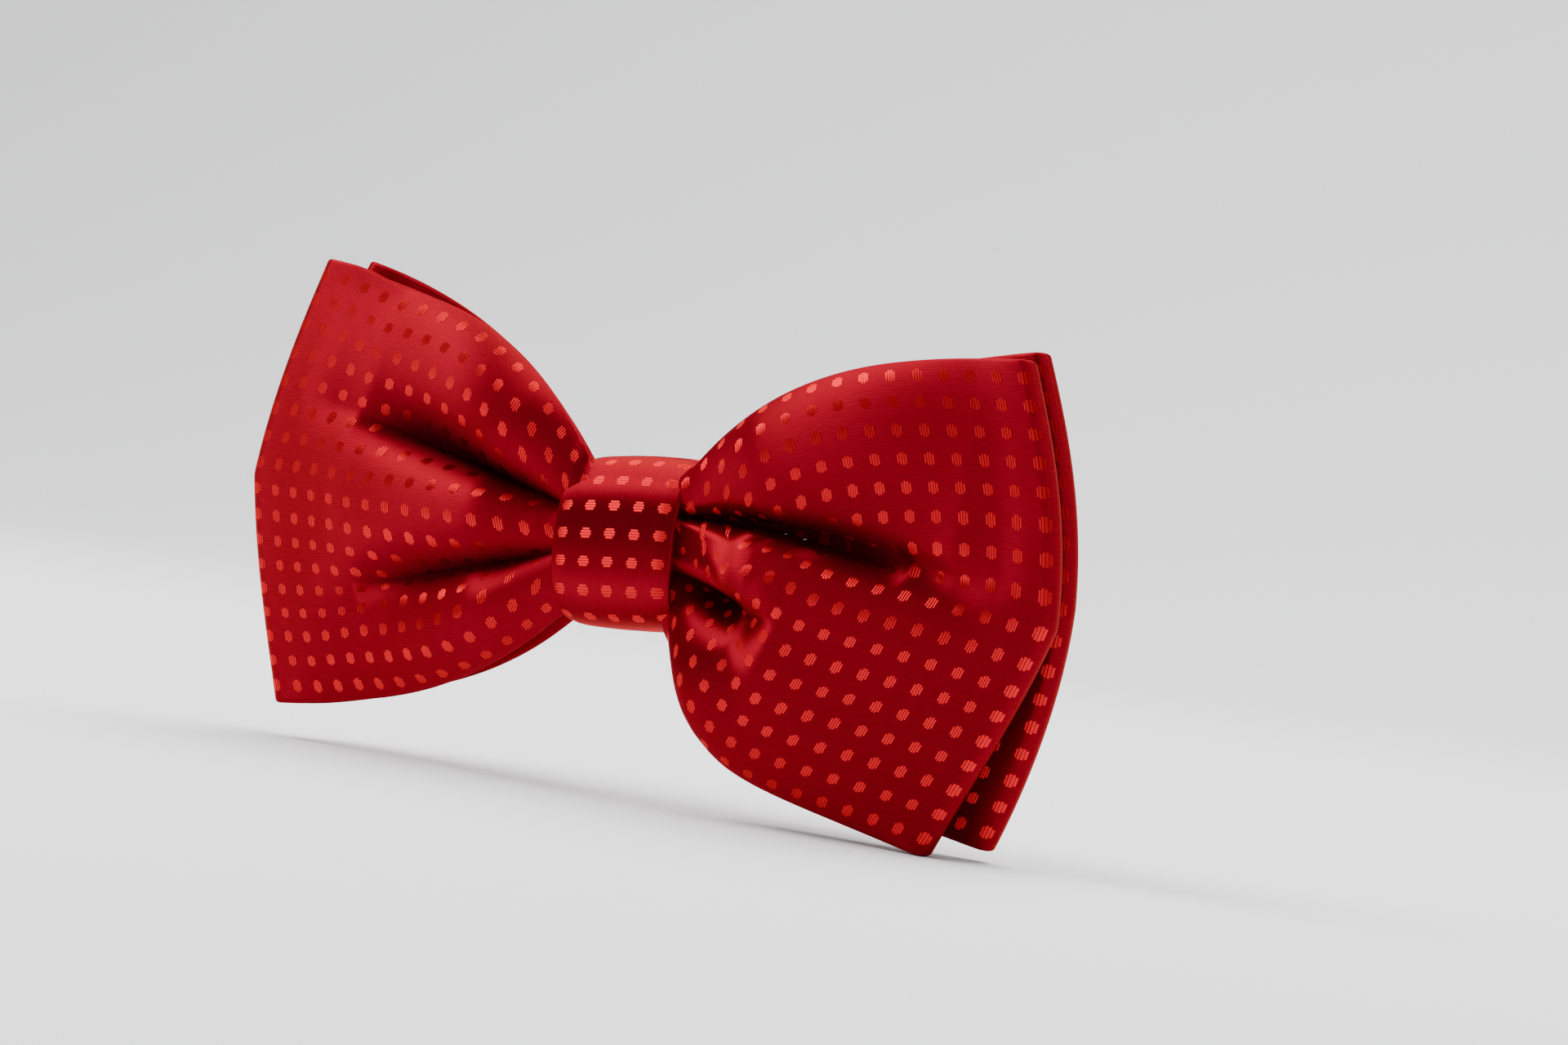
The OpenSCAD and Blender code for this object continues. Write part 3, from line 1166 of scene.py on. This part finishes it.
@dataclass(frozen=True)
class Neckband:
    """The folded strap behind the bow. Its depths and lengths come from the frame's boxes."""

    width: float = 13.0
    thickness: float = 0.9
    last_start: float = 128.0
    turn_start: float = 150.0
    return_start: float = 160.0
    turn_lift: float = 0.2
    turn_lap: float = 5.6

    def depth(self, node: str) -> float:
        """Depth of the middle of a ply, in millimetres."""
        low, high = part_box(node)
        return (low[1] + high[1]) / 2.0 / MM

    def ends(self, node: str) -> Pair:
        """Where a ply starts and ends along X, nearest to the middle first, in millimetres."""
        low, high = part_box(node)
        near, far = sorted((low[0] / MM, high[0] / MM), key=abs)
        return near, far

    def stretch(
        self,
        name: str,
        path: Array,
        satin: Material,
        bodies: tuple[str, ...],
        nodes: tuple[str, ...] = (),
        start: float = 0.0,
        line: tuple[Pair, ...] = (),
    ) -> Object:
        """Makes one stretch of strap, which rides on one body, or, if a line is given, stays on no body.

        Args:
            name: Name of the piece.
            path: Its middle line.
            satin: Its material.
            bodies: The body that it rides on, first; with a line they are not used.
            nodes: The nodes that it stands for, if it rides.
            start: Cloth length at its first point.
            line: Where it leaves the first body and joins the second, in X and Y; if given, the piece is only
                dressed and left where it is made.

        Returns:
            The piece.
        """
        piece = ribbon(name, path, self.width, self.thickness, start)
        if not line:
            stand_in(piece, satin, bodies[0], nodes)
            return piece
        dress(piece, satin)
        first, second = ((x * MM, y * MM, 0.0) for x, y in line)
        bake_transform(piece)
        return piece

    def side(self, name: str, sign: float, satin: Material) -> list[Object]:
        """Makes the runs and folds on one side.

        Args:
            name: "right" or "left".
            sign: 1 on the right, -1 on the left.
            satin: Material of the strap.

        Returns:
            The pieces.
        """
        y = [self.depth(f"band_{name}_{i}") for i in (1, 2, 3, 4)]
        ends = [self.ends(f"band_{name}_{i}") for i in (1, 2, 3)]
        half = self.thickness / 2.0
        centre_end = abs(self.ends("band_centre")[1]) * sign
        first = ends[0][0]
        line = ((centre_end, y[0]), (first, y[0]))
        bodies = ("bow", f"{name}_run_1")
        path = straight(centre_end, first, y[0], 6)
        knot = self.stretch(f"{name}_strap_at_knot", path, satin, bodies, (), abs(centre_end), line)
        pieces = [knot]
        length = abs(first)
        for i, (near, far) in enumerate(ends, 1):
            outward = i % 2 == 1
            depth, deeper = y[i - 1], y[i]
            bodies = (f"{name}_run_{i}", f"{name}_run_{i + 1}")
            path = straight(near, far, depth) if outward else straight(far, near, depth)
            node = (f"band_{name}_{i}",)
            pieces.append(self.stretch(f"{name}_strap_{i}", path, satin, bodies[:1], node, length))
            length += abs(far - near)
            x = far if outward else near
            reach = (0.75 + (deeper - depth) / 4.0) * sign * (1.0 if outward else -1.0)
            path = curve_turn(x, depth, deeper, reach)
            line = ((x, depth + half), (x, deeper - half))
            pieces.append(self.stretch(f"{name}_strap_fold_{i}", path, satin, bodies, (), length, line))
            length += float(np.linalg.norm(np.diff(path, axis=0), axis=1).sum())
        return pieces

    def build(self, satin: Material, thread: Material) -> list[Object]:
        """Makes the whole strap.

        Args:
            satin: Material of the strap.
            thread: Material of its stitches.

        Returns:
            The pieces.
        """
        end = abs(self.ends("band_centre")[1])
        path = straight(-end, end, self.depth("band_centre"))
        pieces = [self.stretch("strap_centre", path, satin, ("bow",), ("band_centre",), -end)]
        pieces += self.side("right", 1.0, satin)
        pieces += self.side("left", -1.0, satin)
        pieces += self.ring_end(satin)
        pieces += self.hook_end(satin)
        for node in ("band_left_stitches", "slider_stitches"):
            dress(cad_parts[node], thread)
        log.info("neckband: %d pieces", len(pieces))
        return pieces

    def fitting(self, name: str, sign: float) -> tuple[float, float, float, float, float]:
        """Sizes of a side's last ply and of its turn round the bar of the end fitting.

        Args:
            name: "right" or "left".
            sign: 1 on the right, -1 on the left.

        Returns:
            The ply's outer end and depth, the bar's place along X, the depth of the ply that
            comes back from the bar and the turn's reach along X.
        """
        low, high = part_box(f"band_{name}_loop")
        half = (high[1] - low[1]) / 2.0
        bar = ((low[0] if sign > 0 else high[0]) + sign * half) / MM
        back = high[1] / MM - self.thickness / 2.0
        reach = half / MM - self.thickness / 2.0
        return self.ends(f"band_{name}_4")[1], self.depth(f"band_{name}_4"), bar, back, reach

    def ring_end(self, satin: Material) -> list[Object]:
        """The left strap's last ply, its turn round the ring's bar and the end sewn down on it."""
        far, y, bar, back, reach = self.fitting("left", -1.0)
        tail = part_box("band_left_loop")[0][0] / MM
        ply, sewn = straight(far, bar, y), straight(bar, tail, back, 10)
        path = np.concatenate([ply, curve_turn(bar, y, back, reach)[1:], sewn[1:]])
        nodes = ("band_left_4", "band_left_loop")
        return [self.stretch("left_strap_4", path, satin, ("left_run_4",), nodes, self.last_start)]

    def hook_end(self, satin: Material) -> list[Object]:
        """The right strap's last ply, its turn round the hook's bar and its return to the slider.

        The turn is a little narrower and thinner than the strap, and slides inside the return.
        """
        far, y, bar, back, reach = self.fitting("right", 1.0)
        near, end = self.ends("band_right_return")
        path = straight(far, bar, y)
        ply = self.stretch("right_strap_4", path, satin, ("right_run_4",), ("band_right_4",), self.last_start)
        under = y + self.turn_lift
        inside = straight(bar + self.turn_lap, bar, under, 8)
        outside = straight(bar, near + 1.0, back, 8)
        path = np.concatenate([inside, curve_turn(bar, under, back, -reach)[1:], outside[1:]])
        inner = Neckband(self.width - 0.3, self.thickness - 0.16)
        nodes = ("band_right_loop",)
        turn = inner.stretch("right_strap_turn", path, satin, ("hook_loop",), nodes, self.turn_start)
        path = straight(near, end, back)
        nodes = ("band_right_return",)
        tail = self.stretch("right_strap_return", path, satin, ("adjuster",), nodes, self.return_start)
        return [ply, turn, tail]


# ---------------------------------------------------------------------------
# Studio
# ---------------------------------------------------------------------------


@dataclass(frozen=True)
class Studio:
    """Pale dish-shaped floor, soft lights and a camera to the right of the bow."""

    target: Triple = (0.0, -12.8, 0.0)
    azimuth: float = 27.5
    elevation: float = 0.0
    roll: float = 8.0
    distance: float = 490.0
    lens: float = 81.5
    slide: Pair = (-21.4, -2.6)

    def camera(self) -> None:
        """Places the camera from its angles, its distance and a slide across the view."""
        a, e, t = np.radians([self.azimuth, self.elevation, self.roll])
        level = np.array([np.cos(a), np.sin(a), 0.0])
        back = np.array([np.sin(a) * np.cos(e), -np.cos(a) * np.cos(e), np.sin(e)])
        upright = np.cross(back, level)
        right = np.cos(t) * level + np.sin(t) * upright
        up = -np.sin(t) * level + np.cos(t) * upright
        place = (
            np.array(self.target) + back * self.distance - right * self.slide[0] - up * self.slide[1]
        ) * MM
        data = bpy.data.cameras.new("camera")
        data.lens = self.lens
        data.sensor_width = 36.0
        data.clip_start = 0.01
        data.dof.use_dof = False
        camera = bpy.data.objects.new("camera", data)
        matrix = np.eye(4)
        matrix[:3, 0], matrix[:3, 1], matrix[:3, 2], matrix[:3, 3] = right, up, back, place
        camera.matrix_world = Matrix(matrix.tolist())
        bpy.context.scene.collection.objects.link(camera)
        bpy.context.scene.camera = camera

    def floor(self, level: float) -> None:
        """A round sheet of paper that curves up at its rim, turned about an upright axis.

        The profile is flat, then a quarter circle, then a straight rise.

        Args:
            level: Height of the floor in metres.
        """
        bend = np.linspace(0.0, np.pi / 2.0, 28)
        curve, flat, rise, ahead = 0.6, 1.9, 0.7, 1.2
        level_part = np.linspace(0.002, flat, 10)
        radius = np.concatenate([level_part, flat + curve * np.sin(bend[1:]), [flat + curve]])
        height = np.concatenate([np.zeros(10), curve * (1.0 - np.cos(bend[1:])), [curve + rise]]) + level
        turn = np.linspace(0.0, 2.0 * np.pi, 96, endpoint=False)
        x = radius[:, None] * np.cos(turn)
        y = radius[:, None] * np.sin(turn) - ahead
        points = np.stack(np.broadcast_arrays(x, y, height[:, None]), -1).reshape(-1, 3) / MM
        quads = grid_faces(len(radius), len(turn), False, True)
        floor = add_mesh("floor", points, quads[:, ::-1])
        board = Board("floor_paper")
        paper = board.principled({"Base Color": (0.92, 0.92, 0.93, 1.0), "Roughness": 0.95})
        dress(floor, board.finish(paper))
        floor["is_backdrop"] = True

    def lamp(self, name: str, place: Triple, size: float, power: float) -> None:
        """A square soft light that faces the bow.

        Args:
            name: Name of the light.
            place: Its position in metres.
            size: Its side in metres.
            power: Its power in watts.
        """
        data = bpy.data.lights.new(name, "AREA")
        data.size = size
        data.energy = power
        lamp = bpy.data.objects.new(name, data)
        spot = np.array(place)
        back = unit(spot - np.array([0.0, -0.01, 0.0]))
        side = unit(np.cross(np.array([0.0, 0.0, 1.0]), back))
        matrix = np.eye(4)
        matrix[:3, 0], matrix[:3, 1], matrix[:3, 2], matrix[:3, 3] = side, np.cross(back, side), back, spot
        lamp.matrix_world = Matrix(matrix.tolist())
        bpy.context.scene.collection.objects.link(lamp)

    def build(self, level: float) -> None:
        """Makes the floor, the lights, the sky and the camera.

        Args:
            level: Height of the floor in metres.
        """
        self.floor(level)
        self.lamp("window", (-0.6, -0.25, 0.8), 0.55, 12.5)
        self.lamp("top", (0.1, 0.35, 1.0), 1.0, 24.0)
        world = bpy.data.worlds.new("studio")
        world.use_nodes = True
        background = world.node_tree.nodes["Background"]
        background.inputs[0].default_value = (0.93, 0.96, 1.0, 1.0)
        background.inputs[1].default_value = 0.26
        bpy.context.scene.world = world
        self.camera()


# ---------------------------------------------------------------------------
# The bow tie
# ---------------------------------------------------------------------------


def front_bow() -> Bow:
    """The front bow, with the creases that its pinch gives each wing."""
    right = Wing(
        side=Side.RIGHT,
        top=Spread(11.0, 20.4, 15.0),
        bottom=Spread(12.5, 14.5, 4.5, 0.19),
        middle=-12.8,
        puff=5.6,
        length=54.5,
        cut=(2.9, 4.6),
        pleats=(
            Pleat(
                (9.5, 4.3), (44.0, 1.8), (-3.0, -9.0, -2.2), (1.2, 3.0), (0.7, 4.2),
                bend=1.3, power=2.6, close=0.25, fade=(0.2, 0.45),
            ),
            Pleat(
                (9.5, 4.3), (50.0, 2.6), (-0.6, -3.6, -1.4), (3.0, 14.0), (0.5, 4.0),
                bend=0.8, power=1.5, close=0.0, fade=(0.2, 0.4),
            ),
            Pleat(
                (9.5, -3.2), (22.0, -7.0), (-3.0, -6.6, -4.2), (0.8, 2.2), (1.6, 7.0),
                bend=0.0, power=2.0, close=0.2, fade=(0.3, 0.6),
            ),
            Pleat((22.0, -4.0), (30.0, -20.0), (0.6, 1.4, 0.4), (4.0, 6.0), (3.4, 5.0), fade=(0.5, 0.6)),
            Pleat((9.5, 0.6), (46.0, -8.0), (0.2, 1.0, 0.3), (2.6, 3.5), (2.6, 9.0)),
        ),
        back_pleats=(Pleat((9.5, 0.0), (34.0, 0.0), (-1.5, -1.0, 0.0), (2.5, 6.0), (2.5, 6.0)),),
        tucks=(Tuck((9.5, 4.4), (49.0, 2.5)),),
    )
    left = Wing(
        side=Side.LEFT,
        bend=1.5,
        top=Spread(12.5, 23.2, 18.4),
        bottom=Spread(11.6, 20.6, 20.0),
        middle=-12.8,
        puff=5.2,
        cut=(1.5, 4.6),
        pleats=(
            Pleat(
                (9.5, 3.2), (46.0, 12.6), (-3.4, -8.5, -2.0), (1.4, 9.5), (0.9, 4.0),
                bend=0.0, power=1.6, close=0.35, fade=(0.2, 0.3),
            ),
            Pleat(
                (9.5, -2.4), (42.0, -11.6), (-3.4, -6.5, -1.0), (0.9, 5.0), (1.0, 6.0),
                bend=0.0, power=1.6, close=0.35, fade=(0.2, 0.3),
            ),
            Pleat((14.0, -8.0), (30.0, -22.0), (1.6, 1.6, 0.4), (2.0, 4.0), (3.0, 6.0), fade=(0.5, 0.5)),
        ),
        back_pleats=(Pleat((9.5, 0.0), (34.0, 0.0), (-1.5, -1.0, 0.0), (2.5, 6.0), (2.5, 6.0)),),
        tucks=(Tuck((9.5, -2.4), (42.0, -11.6)), Tuck((9.5, 3.2), (46.0, 12.6))),
    )
    return Bow("front_bow", "front_bow", "front_bow_lining", left, right)


def back_bow() -> Bow:
    """The back bow, flatter than the front one and turned a little against it."""
    behind = (
        Pleat((9.5, 3.5), (36.0, 9.0), (-2.4, -2.0, -0.2), (1.6, 5.0), (1.6, 5.0)),
        Pleat((9.5, -3.5), (36.0, -9.0), (-2.4, -2.0, -0.2), (1.6, 5.0), (1.6, 5.0)),
    )
    right = Wing(
        side=Side.RIGHT,
        top=Spread(9.5, 22.6, 20.0, 0.05),
        bottom=Spread(11.0, 15.6, 7.5, 0.14),
        middle=-6.2,
        puff=0.3,
        length=53.4,
        cut=(2.2, -1.0),
        pleats=(Pleat((9.5, 2.0), (34.0, 2.0), (-1.0, -0.8, 0.0), (2.5, 6.0), (2.5, 6.0)),),
        back_pleats=behind,
        tucks=(Tuck((9.5, 2.0), (34.0, 2.0)),),
    )
    left = Wing(
        side=Side.LEFT,
        top=Spread(8.0, 31.4, 23.0),
        bottom=Spread(10.5, 19.6, 19.0),
        middle=-6.2,
        puff=0.3,
        pleats=(Pleat((9.5, 0.0), (34.0, 0.0), (-1.0, -0.8, 0.0), (2.5, 6.0), (2.5, 6.0)),),
        back_pleats=behind,
        tucks=(Tuck((9.5, 0.0), (34.0, 0.0)),),
        length=50.7,
        cut=(0.0, 2.0),
    )
    return Bow("back_bow", "back_bow", "back_bow_lining", left, right, rows=90)


def plain_box() -> list[list[float]]:
    """The object's box as plain lists of numbers."""
    return [[float(c) for c in corner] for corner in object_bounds()]


def main() -> None:
    """Builds the bow tie, dresses it and sets the studio."""
    logging.basicConfig(level=logging.INFO, format="%(message)s")
    cad_box = plain_box()
    satin = DottedSatin().build()
    lining = interlining().build()
    thread = sewing_thread().build()
    metal = PlatedMetal().build()
    front_bow().build(satin, lining)
    back_bow().build(satin, lining)
    Knot().build(satin, lining, thread)
    Neckband().build(satin, thread)
    for node in ("slider", "hook", "ring"):
        dress(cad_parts[node], metal)
    own_box = plain_box()
    Studio().build(min(cad_box[0][2], own_box[0][2]))


if __name__ == "__main__":
    main()
